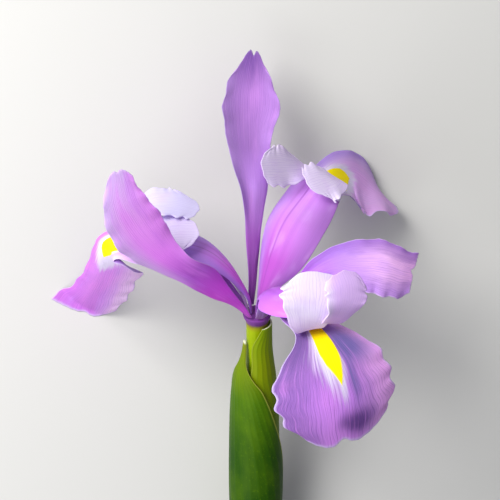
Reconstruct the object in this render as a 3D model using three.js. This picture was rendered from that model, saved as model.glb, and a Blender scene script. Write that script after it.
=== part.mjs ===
// A cut iris flower, lying on its side: three falls, three standards, three
// style arms, three stamens, the ovary, the two spathe valves and the stem.
// Millimetres and degrees. The bloom is laid out upright round its own axis,
// then tipped over and rolled until two falls and the stem's cut end rest.

import * as THREE from 'three';

// ---- driving dimensions ----------------------------------------------------
const petalThickness = 0.7;
const spatheThickness = 0.8;
const bloomRise = 28;            // the flower's axis above the floor
const bloomRoll = 13.9;          // the whole flower turned about its length
const bloomBase = [1.81, 17.21, 30]; // the foot of the petals, over the floor
const pieceGap = 0.3;            // between pieces that touch

const ovaryLength = 27;
const spatheTop = 3;             // distances down the stem from the petals' foot
const spatheBase = 80;
const stemEnd = 108;
const stemRadius = 3.9;
const pedicelRadius = 2.5;
const stemSides = 14;

const colours = {
  fall: '#a98fd0', standard: '#a585cf', style: '#c9a9dc', stamen: '#d8c7e0',
  ovary: '#a9b552', spathe: '#8f9d5c', innerSpathe: '#9aa866', stem: '#7f9450',
};

// ---- small helpers ---------------------------------------------------------
const radians = THREE.MathUtils.degToRad;
const vector = (p) => new THREE.Vector3(p[0], p[1], p[2]);

// A smooth value through [place, value] pairs.
function track(stations) {
  const slope = (i) => {
    const before = stations[Math.max(i - 1, 0)];
    const after = stations[Math.min(i + 1, stations.length - 1)];
    return (after[1] - before[1]) / (after[0] - before[0]);
  };
  return (place) => {
    let i = 0;
    while (i < stations.length - 2 && place > stations[i + 1][0]) i += 1;
    const [a, b] = [stations[i], stations[i + 1]];
    const span = b[0] - a[0];
    const t = THREE.MathUtils.clamp((place - a[0]) / span, 0, 1);
    const [m, n] = [slope(i) * span, slope(i + 1) * span];
    return a[1] * (1 + 2 * t) * (1 - t) ** 2 + m * t * (1 - t) ** 2
      + b[1] * t * t * (3 - 2 * t) + n * t * t * (t - 1);
  };
}

const material = (colour, roughness = 0.6) =>
  new THREE.MeshStandardMaterial({ color: colour, roughness, metalness: 0 });

// ---- the pose of the whole flower ------------------------------------------
const iris = new THREE.Group();
const bloom = new THREE.Group();
const lying = new THREE.Group();
lying.position.set(...bloomBase);
lying.rotation.y = -radians(bloomRoll);
bloom.rotation.x = -radians(90 - bloomRise);
lying.add(bloom);
iris.add(lying);
iris.updateMatrixWorld(true);

// ---- sheets with a thickness -----------------------------------------------
// points: middle of the sheet; quads: corner numbers, anticlockwise on top.
// Where the sheet meets the floor it is pressed flat against it.
function thickSheet(points, quads, thickness, place = new THREE.Matrix4()) {
  const back = place.clone().invert();
  const middle = points.map((p) => p.clone().applyMatrix4(place));
  const pressed = middle.map((p) => p.z < thickness / 2);
  middle.forEach((p) => { p.z = Math.max(p.z, thickness / 2); });
  const normals = middle.map(() => new THREE.Vector3());
  for (const [a, b, c, d] of quads) {
    const across = middle[c].clone().sub(middle[a]);
    const normal = across.cross(middle[d].clone().sub(middle[b]));
    for (const corner of [a, b, c, d]) normals[corner].add(normal);
  }
  const faces = [1, -1].map((side) => middle.map((p, i) => {
    const above = side * normals[i].z > 0;
    const face = p.clone().addScaledVector(normals[i].clone().normalize(), side * thickness / 2);
    if (pressed[i]) face.set(p.x, p.y, above ? thickness : 0);
    face.z = Math.max(face.z, above ? thickness : 0);
    return face;
  }));
  const count = points.length;
  const triangles = [];
  const open = new Map();
  for (const [a, b, c, d] of quads) {
    triangles.push(a, b, c, a, c, d);
    triangles.push(a + count, c + count, b + count, a + count, d + count, c + count);
    for (const [from, to] of [[a, b], [b, c], [c, d], [d, a]]) {
      if (!open.delete(`${to},${from}`)) open.set(`${from},${to}`, [from, to]);
    }
  }
  for (const [from, to] of open.values()) {
    triangles.push(from, from + count, to + count, from, to + count, to);
  }
  const geometry = new THREE.BufferGeometry();
  const all = [...faces[0], ...faces[1]].map((p) => p.applyMatrix4(back));
  geometry.setFromPoints(all);
  geometry.setIndex(triangles);
  geometry.computeVertexNormals();
  return geometry;
}

// A grid of rows along a petal and columns across it, added to points and quads.
function addGrid(points, quads, rows, columns, at, firstRow = null) {
  const numbers = [];
  for (let i = 0; i <= rows; i += 1) {
    numbers.push([]);
    for (let j = 0; j <= columns; j += 1) {
      if (i === 0 && firstRow) {
        numbers[0].push(firstRow[j]);
      } else {
        numbers[i].push(points.length);
        points.push(at(i / rows, 2 * j / columns - 1));
      }
    }
  }
  for (let i = 0; i < rows; i += 1) {
    for (let j = 0; j < columns; j += 1) {
      quads.push([numbers[i][j], numbers[i + 1][j], numbers[i + 1][j + 1], numbers[i][j + 1]]);
    }
  }
  return numbers[rows];
}

// ---- the surface of a petal -------------------------------------------------
// spine: [out, side, up] points of the midrib, from foot to tip.
// width, curl: per side, along the petal; a curl above zero turns the margin
// towards the inner face. roll turns the petal about its midrib.
// along runs from 0 at the foot to 1 at the tip, across from -1 to 1.
function petalSurface(form) {
  const curve = new THREE.CatmullRomCurve3(form.spine.map(vector), false, 'catmullrom', 0.5);
  curve.arcLengthDivisions = 400;
  const length = curve.getLength();
  const [widths, curls] = [form.width.map(track), form.curl.map(track)];
  const [roll, bows] = [track(form.roll), form.bow.map((drop) => track([[0, 0], [0.6, 0], [1, drop]]))];
  const side = new THREE.Vector3(0, 1, 0);
  return (along, across) => {
    const half = across < 0 ? 0 : 1;
    const reach = Math.abs(across);
    const notch = form.notch * Math.exp(-((across / 0.16) ** 2)) * along ** 6;
    const u = THREE.MathUtils.clamp(along - (bows[half](along) * reach ** 2.2 + notch) / length, 0, 1);
    const point = curve.getPointAt(u);
    const tangent = curve.getTangentAt(u);
    const level = side.clone().addScaledVector(tangent, -side.dot(tangent)).normalize();
    const raised = tangent.clone().cross(level);
    const turn = radians(roll(along));
    const acrossAxis = level.clone().multiplyScalar(Math.cos(turn)).addScaledVector(raised, Math.sin(turn));
    const faceAxis = tangent.clone().cross(acrossAxis);
    const curl = radians(curls[half](along)) || 1e-6;
    const wave = form.wave;
    const edge = 1 + wave.scallop * Math.sin(2 * Math.PI * wave.lobes * along + 1.3 * across) * reach * along;
    const width = widths[half](along) * edge;
    const ripple = wave.height * reach ** 2.5 * Math.sin(Math.PI * Math.min(1, along * 1.15)) ** 2
      * Math.sin(2 * Math.PI * wave.count * along + wave.phase + (half ? 0 : 2.1));
    const sideways = Math.sign(across) * width * Math.sin(curl * reach) / curl;
    const upward = width * (1 - Math.cos(curl * reach)) / curl + ripple;
    return point.addScaledVector(acrossAxis, sideways).addScaledVector(faceAxis, upward);
  };
}

function petalGroup(azimuth) {
  const group = new THREE.Group();
  group.rotation.z = radians(azimuth);
  bloom.add(group);
  group.updateMatrixWorld(true);
  return group;
}

function addPetal(name, form, colour, rows, columns) {
  const group = petalGroup(form.azimuth);
  const [points, quads] = [[], []];
  addGrid(points, quads, rows, columns, petalSurface(form));
  const mesh = new THREE.Mesh(thickSheet(points, quads, petalThickness, group.matrixWorld), material(colour));
  mesh.name = name;
  group.add(mesh);
}

// ---- falls -------------------------------------------------------------------
const fallClaw = [[3.4, 0, 0.45], [5.2, 0, 4.8], [8.2, 0, 9.4], [12.5, 0, 13.4], [18, 0, 16.2]];
const foldedWidth = [[0, 1.95], [0.1, 2.5], [0.25, 4.4], [0.4, 5.2], [0.5, 4.8], [0.6, 4.8],
  [0.7, 5.1], [0.8, 5.6], [0.9, 7], [1, 12]];
const broadWidth = [[0, 1.95], [0.1, 2.5], [0.25, 4.4], [0.4, 5], [0.5, 4.6], [0.54, 7.2],
  [0.58, 10.4], [0.62, 11.4], [0.68, 10.8], [0.75, 10], [0.85, 9.8], [0.93, 9.3], [1, 8]];
const nearWidth = [[0, 1.95], [0.1, 2.5], [0.25, 4.4], [0.4, 5.6], [0.5, 6.2], [0.58, 8.5],
  [0.68, 13], [0.78, 15.2], [0.88, 13.6], [0.95, 8.8], [1, 4]];
const farWidth = [[0, 1.95], [0.1, 2.5], [0.25, 4.4], [0.4, 5.4], [0.5, 5], [0.6, 4.8],
  [0.7, 5.8], [0.78, 7.6], [0.84, 7.8], [0.89, 4.6], [0.94, 1.8], [1, 1.2]];
const frontWidth = [[0, 1.95], [0.1, 2.5], [0.25, 4.2], [0.4, 4.8], [0.5, 4.9], [0.58, 7.6],
  [0.65, 13.6], [0.72, 16.4], [0.82, 17.2], [0.92, 15.8], [1, 12.6]];
const wideWidth = [[0, 1.95], [0.1, 2.5], [0.25, 4.2], [0.4, 5], [0.5, 7.4], [0.58, 11],
  [0.65, 14.6], [0.72, 16.4], [0.82, 17.2], [0.92, 17], [1, 14.4]];
const fallWave = { height: 1.3, count: 3.2, phase: 0.4, scallop: 0.05, lobes: 9 };

const falls = {
  fall_front: {
    azimuth: -65,
    spine: [...fallClaw, [25, 0, 17.4], [32, 0, 17.9], [37.3, 0, 17.2], [42, 0, 15.2], [46, 0, 12.4],
      [49.5, 0, 8], [51.8, 0, 2.5], [52.9, 0, -3.2], [53.4, 0, -7]],
    width: [frontWidth, wideWidth],
    curl: [[[0, 35], [0.15, 12], [0.5, 4], [0.62, -12], [0.8, -18], [1, -22]],
      [[0, 35], [0.15, 12], [0.5, 4], [0.62, -12], [0.8, -18], [1, -22]]],
    roll: [[0, 0], [1, 0]],
    bow: [6, 6],
    notch: 2.2,
    wave: fallWave,
  },
  fall_left: {
    azimuth: 180,
    spine: [...fallClaw, [25, 0, 18.6], [32, 0, 20.8], [37, 0, 22.4], [39.5, -0.1, 22.2], [40.1, -0.7, 19.5],
      [40.9, -2.4, 15], [42, -5.2, 9.6], [43.3, -8.7, 3.6], [45, -12.3, -2.5], [48, -17.5, -13.4]],
    width: [foldedWidth, broadWidth],
    curl: [[[0, 35], [0.15, 12], [0.5, -10], [0.62, -50], [0.78, -45], [0.9, -30], [1, -10]],
      [[0, 35], [0.15, 12], [0.5, 4], [0.62, -8], [0.8, -12], [1, -15]]],
    roll: [[0, 0], [0.46, 0], [0.54, -52], [0.61, -82], [0.75, -84], [1, -80]],
    bow: [0, 6],
    notch: 1.2,
    wave: { ...fallWave, phase: 2.4 },
  },
  fall_back: {
    azimuth: 60,
    spine: [...fallClaw, [25, 0, 18.6], [33, 0, 20.8], [40, 0, 21.4], [44.8, -0.6, 20.6], [49.4, -2, 18.4],
      [52, -3.8, 15.3], [53.8, -5.8, 12], [55.6, -9.6, 7.2], [57.3, -12.9, 3.7]],
    width: [nearWidth, farWidth],
    curl: [[[0, 35], [0.15, 12], [0.5, 4], [0.62, 28], [0.76, 42], [0.84, 38], [0.94, -6], [1, -12]],
      [[0, 35], [0.15, 12], [0.5, 4], [0.62, -25], [0.8, -40], [1, -30]]],
    roll: [[0, 0], [0.5, 0], [0.62, 50], [0.74, 70], [0.84, 72], [0.92, 46], [1, 40]],
    bow: [1, 0],
    notch: 1.5,
    wave: { ...fallWave, phase: 4.2 },
  },
};

for (const [name, form] of Object.entries(falls)) addPetal(name, form, colours.fall, 24, 10);

// ---- standards -----------------------------------------------------------------
const standardWave = { height: 0.8, count: 2.6, phase: 0.9, scallop: 0.04, lobes: 8 };

const standards = {
  standard_back: {
    azimuth: 120,
    spine: [[3.4, 0, 0.45], [4.2, -0.6, 4.6], [6, -1.8, 10], [8, -3, 15], [14, -6.8, 26.4],
      [21.9, -10.5, 36.8], [30.2, -15.3, 46.6], [34.9, -18.6, 50.9], [41.2, -22.9, 54.7]],
    width: [[[0, 0.85], [0.12, 1.9], [0.22, 2.8], [0.3, 3], [0.45, 5.2], [0.6, 5.9], [0.68, 6.6], [0.76, 8.7], [0.88, 7], [1, 3]],
      [[0, 0.85], [0.12, 1.15], [0.3, 2.4], [0.45, 4.6], [0.6, 7], [0.75, 8.8], [0.88, 7], [1, 3]]],
    curl: [[[0, 16], [0.2, -30], [0.38, -30], [0.6, 20], [1, 10]], [[0, 16], [0.2, 25], [0.6, 20], [1, 10]]],
    roll: [[0, 0], [1, 0]],
    bow: [5, 5],
    notch: 2,
    wave: standardWave,
  },
  standard_right: {
    azimuth: 3,
    spine: [[3.4, 0, 0.45], [6.5, 0, 4.5], [11.5, 0, 9.4], [17, 0, 13.6], [23.5, 0, 16.1], [30.2, 0, 16.6],
      [35.1, -0.2, 15.9], [39, 0.1, 14], [42.6, 0.7, 11.7]],
    width: [[[0, 0.85], [0.12, 1.15], [0.3, 3], [0.5, 6.6], [0.65, 8.8], [0.8, 9.9], [0.92, 9], [1, 6.4]],
      [[0, 0.85], [0.12, 1.15], [0.3, 2.6], [0.5, 5], [0.65, 5.8], [0.8, 5.8], [0.9, 4.9], [1, 5.4]]],
    curl: [[[0, 16], [0.2, 20], [0.6, 12], [1, 0]], [[0, 16], [0.2, 20], [0.6, 12], [1, 0]]],
    roll: [[0, 0], [0.2, 0], [0.5, 40], [1, 42]],
    bow: [0, 0],
    notch: 1,
    wave: { ...standardWave, phase: 2.2 },
  },
  standard_left: {
    azimuth: -125,
    spine: [[3.4, 0, 0.45], [6, -1.4, 5.3], [10.6, -3.4, 11.3], [15.8, -6.1, 17.7], [21.3, -9.2, 24.1],
      [26.4, -12.8, 31.4], [30.8, -16.1, 39.2], [33.6, -18.6, 48.2], [33, -21, 57.6]],
    width: [[[0, 0.85], [0.12, 1.8], [0.2, 3.1], [0.3, 3.6], [0.4, 4.3], [0.5, 6.7], [0.6, 8], [0.7, 8.2], [0.85, 6.5],
      [0.95, 4.4], [1, 3.4]],
    [[0, 0.85], [0.12, 1.4], [0.2, 2.5], [0.3, 4.3], [0.38, 4.2], [0.5, 4.2], [0.6, 5.5], [0.72, 7.4], [0.9, 6], [1, 4.1]]],
    curl: [[[0, 16], [0.2, 25], [0.6, 20], [1, 10]], [[0, 16], [0.2, 25], [0.6, 20], [1, 10]]],
    roll: [[0, 0], [0.1, 45], [0.25, 62], [0.5, 52], [1, 55]],
    bow: [3, 3],
    notch: 0.6,
    wave: { ...standardWave, phase: 3.6 },
  },
};

for (const [name, form] of Object.entries(standards)) addPetal(name, form, colours.standard, 20, 8);

// ---- style arms with their two crest lobes --------------------------------------
const styleSpine = [[1.3, 0, 0.5], [2.2, 0, 5.2], [4.4, 0, 9.8], [7.2, 0, 14.3], [11, 0, 18.5], [14.5, 0, 20.8],
  [18, 0, 21.9], [25, 0, 23], [30, 0, 23.9], [34, 0, 24.4]];
const lowSpine = [[1.3, 0, 0.5], [2.3, 0, 4.9], [4.6, 0, 9.2], [7.7, 0, 13.1], [11.5, 0, 16.3], [15, 0, 18.2],
  [18.4, 0, 19.8], [25, 0, 21.9], [30, 0, 22.8], [34, 0, 21]];
const styleWidth = [[0, 1.15], [0.15, 1.6], [0.3, 3.2], [0.5, 5.2], [0.75, 6.2], [1, 6]];
const broadStyle = [[0, 1.15], [0.15, 2.6], [0.3, 5.8], [0.5, 8.2], [0.75, 8.8], [1, 7.6]];
const widestStyle = [[0, 1.15], [0.1, 2.6], [0.2, 5.7], [0.3, 8.8], [0.45, 10.8], [0.6, 11.2], [0.75, 10.5], [1, 8]];
const hangingStyle = [[0, 1.15], [0.15, 2.2], [0.3, 4], [0.4, 5.4], [0.5, 8], [0.6, 8.8], [0.75, 8], [0.9, 5.6], [1, 4]];
const narrowStyle = [[0, 1.15], [0.15, 1.4], [0.3, 2.4], [0.5, 3.4], [0.75, 5], [1, 6]];
const crestWidth = [[0, 3], [0.3, 4.8], [0.65, 6.6], [1, 5.8]];

const styles = {
  style_front: {
    azimuth: -65,
    spine: lowSpine,
    sag: 0,
    hang: -50,
    droop: -60,
    width: [hangingStyle, narrowStyle],
    lobes: [
      { spine: [[34, -3, 19.4], [36.8, -3.3, 19.8], [37.2, -2.4, 24], [34.8, -0.7, 29.2], [30.4, 1.4, 34]],
        roll: 0, bow: [4, 1], broad: [1.3, 1.2] },
      { spine: [[34, 3, 19.8], [37.4, 4.6, 21.4], [39, 6.6, 26.2], [38, 7.8, 31], [35.4, 7, 35.8]],
        roll: 0, bow: [1, 5], broad: [0.9, 0.9] },
    ],
  },
  style_left: {
    azimuth: 180,
    spine: styleSpine,
    sag: -1,
    hang: -30,
    droop: -24,
    width: [broadStyle, styleWidth],
    lobes: [
      { spine: [[34, -3, 24], [35, -4.6, 26.9], [29.3, -6.7, 31.3], [22.7, -7.1, 32], [15, -6.9, 29.9]],
        roll: 0, bow: [6, 3], broad: [1, 1] },
      { spine: [[34, 3, 24], [34.2, 3.5, 25.9], [28.6, 3.4, 27.8], [22.5, 2.9, 28.7], [15.1, 1.6, 28.4]],
        roll: 20, bow: [3, 6], broad: [1, 1] },
    ],
  },
  style_back: {
    azimuth: 60,
    spine: styleSpine,
    sag: -0.3,
    hang: -30,
    droop: -24,
    width: [widestStyle, styleWidth],
    lobes: [
      { spine: [[34, -3, 24], [34.9, -4.7, 25], [31.5, -5.4, 26.7], [26.8, -4.5, 28.2], [21.9, -3.2, 29.4]],
        roll: -38, bow: [10, 2], broad: [1, 1] },
      { spine: [[34, 3, 24], [34.2, 3.8, 26.2], [27.8, 4.1, 30.3], [21.2, 5.6, 33.9], [14.5, 7.3, 36.9]],
        roll: -60, bow: [2, 7], broad: [0.9, 0.9] },
    ],
  },
};

const crestRows = 9;
const crestColumns = 5;
const armRows = 14;

function addStyle(name, form) {
  const group = petalGroup(form.azimuth);
  const last = form.spine.length - 1;
  const spine = form.spine.map(([out, sideways, up], i) => [out, sideways, up - form.sag * i / last]);
  const curl = [[0, -40], [0.3, form.hang], [1, form.droop]];
  const arm = petalSurface({
    spine, width: form.width, curl: [curl, curl],
    roll: [[0, 0], [1, 0]], bow: [0, 0], notch: 0,
    wave: { height: 0, count: 1, phase: 0, scallop: 0, lobes: 1 },
  });
  const [points, quads] = [[], []];
  const end = addGrid(points, quads, armRows, 2 * crestColumns, arm);
  const forward = arm(1, 0).sub(arm(0.95, 0)).normalize();
  form.lobes.forEach((lobe, number) => {
    const width = lobe.broad.map((broad) => crestWidth.map(([place, value]) => [place, value * broad]));
    const surface = petalSurface({
      spine: lobe.spine, width, curl: [[[0, -10], [1, 12]], [[0, -10], [1, 12]]],
      roll: [[0, 0], [0.4, 0.8 * lobe.roll], [1, lobe.roll]], bow: lobe.bow, notch: 0,
      wave: { height: 0.5, count: 2.5, phase: 1 + number, scallop: 0.09, lobes: 5 },
    });
    const row = end.slice(number * crestColumns, (number + 1) * crestColumns + 1);
    const at = (along, across) => {
      const share = THREE.MathUtils.smoothstep(along, 0, 0.4);
      const from = arm(1, (across + 1) / 2 - 1 + number).addScaledVector(forward, 9 * along);
      return from.lerp(surface(along, across), share);
    };
    addGrid(points, quads, crestRows, crestColumns, at, row);
  });
  const mesh = new THREE.Mesh(thickSheet(points, quads, petalThickness, group.matrixWorld), material(colours.style));
  mesh.name = name;
  group.add(mesh);
}

for (const [name, form] of Object.entries(styles)) addStyle(name, form);

// ---- solids swept along a path ----------------------------------------------------
// rings: { centre, right, up, radius(angle) }; both ends are closed by a fan.
function sweptSolid(rings, sides) {
  const points = [];
  for (const ring of rings) {
    for (let k = 0; k < sides; k += 1) {
      const angle = 2 * Math.PI * k / sides;
      const [wide, high] = ring.radius(angle);
      points.push(ring.centre.clone().addScaledVector(ring.right, wide * Math.cos(angle))
        .addScaledVector(ring.up, high * Math.sin(angle)));
    }
  }
  const triangles = [];
  for (let i = 0; i + 1 < rings.length; i += 1) {
    for (let k = 0; k < sides; k += 1) {
      const [a, b] = [i * sides + k, i * sides + (k + 1) % sides];
      triangles.push(a, b, b + sides, a, b + sides, a + sides);
    }
  }
  const last = (rings.length - 1) * sides;
  const ends = [points.length, points.length + 1];
  points.push(rings[0].centre.clone(), rings[rings.length - 1].centre.clone());
  for (let k = 0; k < sides; k += 1) {
    const next = (k + 1) % sides;
    triangles.push(ends[0], next, k, ends[1], last + k, last + next);
  }
  const geometry = new THREE.BufferGeometry().setFromPoints(points);
  geometry.setIndex(triangles);
  geometry.computeVertexNormals();
  return geometry;
}

// ---- stamens, between each claw and its style arm ----------------------------------
const stamenPath = [[2.35, 0, 0.45], [3.6, 0, 5], [6.1, 0, 10], [10.1, 0, 14.5], [15, 0, 17.8], [20, 0, 19.5],
  [25, 0, 20.4], [29, 0, 21.1]];
const lowPath = [[2.35, 0, 0.45], [3.7, 0, 4.6], [6.4, 0, 9.1], [10.4, 0, 13.1], [15, 0, 16.3], [20, 0, 18.2],
  [25, 0, 19.4], [29, 0, 20.2]];
const stamenWidth = track([[0, 0.42], [0.35, 0.42], [0.45, 1], [0.6, 1.3], [0.9, 1.1], [1, 0.4]]);
const stamenHeight = track([[0, 0.42], [0.35, 0.42], [0.45, 0.5], [0.6, 0.55], [0.9, 0.5], [1, 0.3]]);
const stamenRings = 16;
const stamenSides = 6;

function addStamen(name, azimuth, path) {
  const group = petalGroup(azimuth);
  const curve = new THREE.CatmullRomCurve3(path.map(vector), false, 'catmullrom', 0.5);
  const rings = [];
  for (let i = 0; i <= stamenRings; i += 1) {
    const along = i / stamenRings;
    const tangent = curve.getTangentAt(along);
    const right = new THREE.Vector3(0, 1, 0);
    rings.push({
      centre: curve.getPointAt(along), right, up: tangent.clone().cross(right),
      radius: () => [stamenWidth(along), stamenHeight(along)],
    });
  }
  const mesh = new THREE.Mesh(sweptSolid(rings, stamenSides), material(colours.stamen));
  mesh.name = name;
  group.add(mesh);
}

addStamen('stamen_front', styles.style_front.azimuth, lowPath);
addStamen('stamen_left', styles.style_left.azimuth, stamenPath);
addStamen('stamen_back', styles.style_back.azimuth, stamenPath);

// ---- the axis of ovary, spathe and stem ----------------------------------------------
// It leaves the flower along the bloom's own axis, nods, and runs down to the floor.
const down = new THREE.Vector3(0, 0, -1).transformDirection(bloom.matrixWorld);
const base = vector(bloomBase);
const footSlope = radians(10);
const footHeight = stemRadius * Math.cos(Math.PI / stemSides) * Math.cos(footSlope);
const stemFoot = new THREE.Vector3(base.x + 5.6, base.y - stemEnd * 0.965, footHeight);
const stemAxis = new THREE.CubicBezierCurve3(
  base.clone(), base.clone().addScaledVector(down, 30),
  stemFoot.clone().add(new THREE.Vector3(-1, 40, 40 * Math.tan(footSlope))), stemFoot,
);
stemAxis.arcLengthDivisions = 400;
const axisLength = stemAxis.getLength();

// The place at a distance down the stem: its centre and two directions across it.
function stemPlace(distance) {
  const u = THREE.MathUtils.clamp(distance / axisLength, 0, 1);
  const tangent = stemAxis.getTangentAt(u);
  const right = new THREE.Vector3(1, 0, 0).addScaledVector(tangent, -tangent.x).normalize();
  const centre = stemAxis.getPointAt(u).addScaledVector(tangent, distance - u * axisLength);
  return { centre, right, up: tangent.clone().cross(right) };
}

function addStemSolid(name, from, to, rings, shape, colour) {
  const list = [];
  for (let i = 0; i <= rings; i += 1) {
    const along = i / rings;
    const distance = from + (to - from) * along;
    const place = stemPlace(distance);
    list.push({ ...place, radius: (angle) => shape(distance, angle) });
  }
  const mesh = new THREE.Mesh(sweptSolid(list, stemSides), material(colour));
  mesh.name = name;
  iris.add(mesh);
}

const ovaryRadius = track([[0, 3.9], [1, 3.7], [2.5, 3.05], [6, 3], [15, 3], [22, 3], [27, 2.5]]);
addStemSolid('ovary', 0.1, ovaryLength, 12, (distance, angle) => {
  const radius = ovaryRadius(distance) * (1 + 0.05 * Math.cos(3 * angle) * Math.min(1, distance / 8));
  return [radius, radius];
}, colours.ovary);

const stemThick = track([[27, pedicelRadius], [60, pedicelRadius], [72, 3.4], [80, stemRadius], [stemEnd, stemRadius]]);
addStemSolid('stem', ovaryLength + pieceGap, stemEnd, 16,
  (distance) => [stemThick(distance), stemThick(distance)], colours.stem);

// ---- spathe: two valves that clasp the pedicel and each other --------------------------
const valves = {
  spathe_outer: {
    top: spatheTop + 5,
    colour: colours.spathe,
    radius: [[8, 3.7], [12, 4.3], [15, 5.2], [18, 6.05], [21, 6.5], [30, 7.1], [45, 7.35], [57, 7.2], [70, 6.45], [80, 6.15]],
    facing: [[8, 165], [15, 157], [22, 150], [32, 141], [50, 130], [80, 122]],
    reach: [[8, 9], [12, 14], [15, 20], [19, 43], [22, 60], [32, 81], [50, 115], [80, 120]],
  },
  spathe_inner: {
    top: spatheTop,
    colour: colours.innerSpathe,
    radius: [[3, 3.85], [8, 3.9], [12, 4.05], [20, 5], [30, 5.8], [45, 6.05], [57, 5.9], [70, 5.1], [80, 4.8]],
    facing: [[3, 20], [15, 15], [30, -10], [50, -40], [80, -50]],
    reach: [[3, 62], [5, 78], [9, 104], [15, 107], [20, 116], [80, 120]],
  },
};

for (const [name, valve] of Object.entries(valves)) {
  const [radius, facing, reach] = [valve.radius, valve.facing, valve.reach].map(track);
  const at = (along, across) => {
    const distance = valve.top + (spatheBase - valve.top) * along ** 1.4;
    const angle = radians(facing(distance) + reach(distance) * across);
    const { centre, right, up } = stemPlace(distance);
    const out = right.clone().multiplyScalar(Math.cos(angle)).addScaledVector(up, Math.sin(angle));
    return centre.addScaledVector(out, radius(distance));
  };
  const [points, quads] = [[], []];
  addGrid(points, quads, 15, 12, at);
  const mesh = new THREE.Mesh(thickSheet(points, quads, spatheThickness), material(valve.colour));
  mesh.name = name;
  iris.add(mesh);
}

export default iris;
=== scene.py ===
import math

import bmesh
import bpy
from mathutils import Matrix, Vector


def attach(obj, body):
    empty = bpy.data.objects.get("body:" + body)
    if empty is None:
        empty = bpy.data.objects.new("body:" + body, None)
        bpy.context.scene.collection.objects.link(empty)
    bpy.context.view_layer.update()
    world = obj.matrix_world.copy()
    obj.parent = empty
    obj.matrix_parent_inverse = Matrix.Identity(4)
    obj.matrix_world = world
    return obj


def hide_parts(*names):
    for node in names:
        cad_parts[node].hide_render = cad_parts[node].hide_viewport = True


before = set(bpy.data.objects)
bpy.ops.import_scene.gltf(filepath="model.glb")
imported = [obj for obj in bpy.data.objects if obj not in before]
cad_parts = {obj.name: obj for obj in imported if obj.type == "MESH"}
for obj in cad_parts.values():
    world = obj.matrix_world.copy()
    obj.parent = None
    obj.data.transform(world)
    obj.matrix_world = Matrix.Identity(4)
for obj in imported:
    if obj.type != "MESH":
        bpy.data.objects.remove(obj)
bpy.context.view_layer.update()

# A cut iris flower lying on its side. Every petal is worked out again from the
# midrib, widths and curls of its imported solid, finer, thinner and with its veins.
# Lengths are millimetres until a mesh is written, and angles are degrees.
mm = 0.001
roundingLevels = 1  # subdivision of every piece, the same on screen and in renders

flower = {
    "base": Vector((1.81, 17.21, 30)),  # the foot of the petals, over the floor
    "rise": 28,  # the flower's axis above the floor
    "roll": 13.9,  # turned about its own length
}
bloomPlace = (
    Matrix.Translation(flower["base"])
    @ Matrix.Rotation(-math.radians(flower["roll"]), 4, "Y")
    @ Matrix.Rotation(-math.radians(90 - flower["rise"]), 4, "X")
)


def petalPlace(azimuth):
    return bloomPlace @ Matrix.Rotation(math.radians(azimuth), 4, "Z")


def clamp(value, low=0, high=1):
    return min(max(value, low), high)


def smoothStep(low, high, value):
    t = clamp((value - low) / (high - low))
    return t * t * (3 - 2 * t)


def track(stations):  # a smooth value through (place, value) pairs
    def slope(i):
        before = stations[max(i - 1, 0)]
        after = stations[min(i + 1, len(stations) - 1)]
        return (after[1] - before[1]) / (after[0] - before[0])

    def value(place):
        i = 0
        while i < len(stations) - 2 and place > stations[i + 1][0]:
            i += 1
        a, b = stations[i], stations[i + 1]
        span = b[0] - a[0]
        t = clamp((place - a[0]) / span)
        m, n = slope(i) * span, slope(i + 1) * span
        return (a[1] * (1 + 2 * t) * (1 - t) ** 2 + m * t * (1 - t) ** 2
                + b[1] * t * t * (3 - 2 * t) + n * t * t * (t - 1))

    return value


def evenly(curve):  # walks a curve by its length: its point and direction at a share, and the length
    steps, nudge = 400, 1e-4
    lengths = [0]
    last = curve(0)
    for i in range(1, steps + 1):
        point = curve(i / steps)
        lengths.append(lengths[-1] + (point - last).length)
        last = point
    whole = lengths[-1]

    def at(share):
        target = clamp(share) * whole
        low, high = 0, steps
        while high - low > 1:
            middle = (low + high) // 2
            if lengths[middle] <= target:
                low = middle
            else:
                high = middle
        t = (low + (target - lengths[low]) / (lengths[high] - lengths[low])) / steps
        ahead, behind = curve(min(t + nudge, 1)), curve(max(t - nudge, 0))
        return curve(t), (ahead - behind).normalized()

    return at, whole


def spineCurve(points):  # a smooth curve through the points of a midrib
    p = [Vector(q) for q in points]
    p = [2 * p[0] - p[1]] + p + [2 * p[-1] - p[-2]]
    spans = len(points) - 1

    def curve(t):
        i = min(int(t * spans), spans - 1)
        s = t * spans - i
        a, b, c, d = p[i:i + 4]
        m, n = (c - a) / 2, (d - b) / 2
        return (b * (1 - s) ** 2 * (1 + 2 * s) + m * s * (1 - s) ** 2
                + c * s * s * (3 - 2 * s) + n * s * s * (s - 1))

    return evenly(curve)


def bezierCurve(a, b, c, d):
    def curve(t):
        r = 1 - t
        return a * r ** 3 + b * (3 * r * r * t) + c * (3 * r * t * t) + d * t ** 3

    return evenly(curve)


def colour(text):  # from a web colour to the linear values that a shader takes
    parts = [int(text[i:i + 2], 16) / 255 for i in (1, 3, 5)]
    return tuple(c / 12.92 if c < 0.04045 else ((c + 0.055) / 1.055) ** 2.4 for c in parts)


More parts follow.
